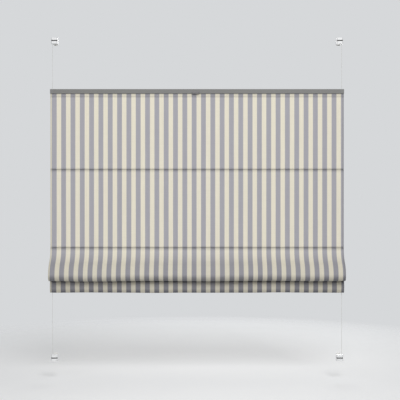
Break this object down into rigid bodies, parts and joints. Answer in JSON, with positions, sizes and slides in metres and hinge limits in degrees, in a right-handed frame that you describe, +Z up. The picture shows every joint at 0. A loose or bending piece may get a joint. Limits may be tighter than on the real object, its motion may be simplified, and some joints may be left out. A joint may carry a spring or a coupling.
{
  "type": "roman blind",
  "caption": "Clamp-on roman blind: striped fabric with sewn-in battens and a soft lower fold, sliding on taut side cords below a slim head rail with a pull.",
  "frame": {"origin": "middle of the window sash's room face, halfway between its upper and lower edges", "axes": "+Z up, +Y from the room into the sash, +X to the right as seen from the room"},
  "size_m": [1.2, 0.0988, 1.323],
  "materials": {
    "fabric_striped": "matte",
    "rail_grey": "matte",
    "cap_grey": "matte",
    "pull_grey": "satin",
    "brake_dark": "matte",
    "keder_white": "satin",
    "batten_white": "satin",
    "guide_clear": "satin",
    "hem_bar_alu": "satin",
    "clamp_white": "satin",
    "hook_steel": "satin",
    "pad_foam": "matte",
    "screw_steel": "satin",
    "ferrule_alu": "satin",
    "cord_grey": "matte"
  },
  "bodies": {
    "window_fittings": {"clamp_housing_top_right": "clamp_white", "clamp_screw_top_right": "screw_steel", "cord_ferrule_top_right": "ferrule_alu", "clamp_housing_top_left": "clamp_white", "clamp_screw_top_left": "screw_steel", "cord_ferrule_top_left": "ferrule_alu", "clamp_housing_bottom_right": "clamp_white", "clamp_screw_bottom_right": "screw_steel", "cord_ferrule_bottom_right": "ferrule_alu", "clamp_housing_bottom_left": "clamp_white", "clamp_screw_bottom_left": "screw_steel", "cord_ferrule_bottom_left": "ferrule_alu", "tension_cord_left": "cord_grey", "tension_cord_right": "cord_grey"},
    "head_rail": {"head_rail": "rail_grey", "head_rail_keder": "keder_white", "head_rail_cap_left": "cap_grey", "head_rail_brake_left": "brake_dark", "head_rail_cap_right": "cap_grey", "head_rail_brake_right": "brake_dark", "rail_pull": "pull_grey", "fabric": "fabric_striped"},
    "batten_1": {"batten_1": "batten_white", "batten_1_guide_left": "guide_clear", "batten_1_guide_right": "guide_clear"},
    "batten_2": {"batten_2": "batten_white", "batten_2_guide_left": "guide_clear", "batten_2_guide_right": "guide_clear"},
    "bottom_rail": {"bottom_rail": "rail_grey", "bottom_rail_keder": "keder_white", "bottom_rail_cap_left": "cap_grey", "bottom_rail_brake_left": "brake_dark", "bottom_rail_cap_right": "cap_grey", "bottom_rail_brake_right": "brake_dark", "hem_bar": "hem_bar_alu", "hem_guide_left": "guide_clear", "hem_guide_right": "guide_clear"},
    "hook_top_right": {"clamp_hook_top_right": "hook_steel", "hook_pad_top_right": "pad_foam"},
    "hook_top_left": {"clamp_hook_top_left": "hook_steel", "hook_pad_top_left": "pad_foam"},
    "hook_bottom_right": {"clamp_hook_bottom_right": "hook_steel", "hook_pad_bottom_right": "pad_foam"},
    "hook_bottom_left": {"clamp_hook_bottom_left": "hook_steel", "hook_pad_bottom_left": "pad_foam"}
  },
  "joints": [
    {"name": "head_rail_slide", "type": "slide", "parent": "window_fittings", "child": "head_rail", "axis": [0, 0, 1], "range_m": [0, 0.185]},
    {"name": "batten_1_slide", "type": "slide", "parent": "head_rail", "child": "batten_1", "axis": [0, 0, 1], "range_m": [0, 0.29], "deforming": ["fabric"]},
    {"name": "batten_2_slide", "type": "slide", "parent": "batten_1", "child": "batten_2", "axis": [0, 0, 1], "range_m": [0, 0.3], "deforming": ["fabric"]},
    {"name": "bottom_rail_slide", "type": "slide", "parent": "batten_2", "child": "bottom_rail", "axis": [0, 0, 1], "range_m": [-0.26, 0], "deforming": ["fabric"]},
    {"name": "hook_top_right_slide", "type": "slide", "parent": "window_fittings", "child": "hook_top_right", "axis": [0, 1, 0], "range_m": [-0.008, 0.005]},
    {"name": "hook_top_left_slide", "type": "slide", "parent": "window_fittings", "child": "hook_top_left", "axis": [0, 1, 0], "range_m": [-0.008, 0.005]},
    {"name": "hook_bottom_right_slide", "type": "slide", "parent": "window_fittings", "child": "hook_bottom_right", "axis": [0, 1, 0], "range_m": [-0.008, 0.005]},
    {"name": "hook_bottom_left_slide", "type": "slide", "parent": "window_fittings", "child": "hook_bottom_left", "axis": [0, 1, 0], "range_m": [-0.008, 0.005]}
  ]
}
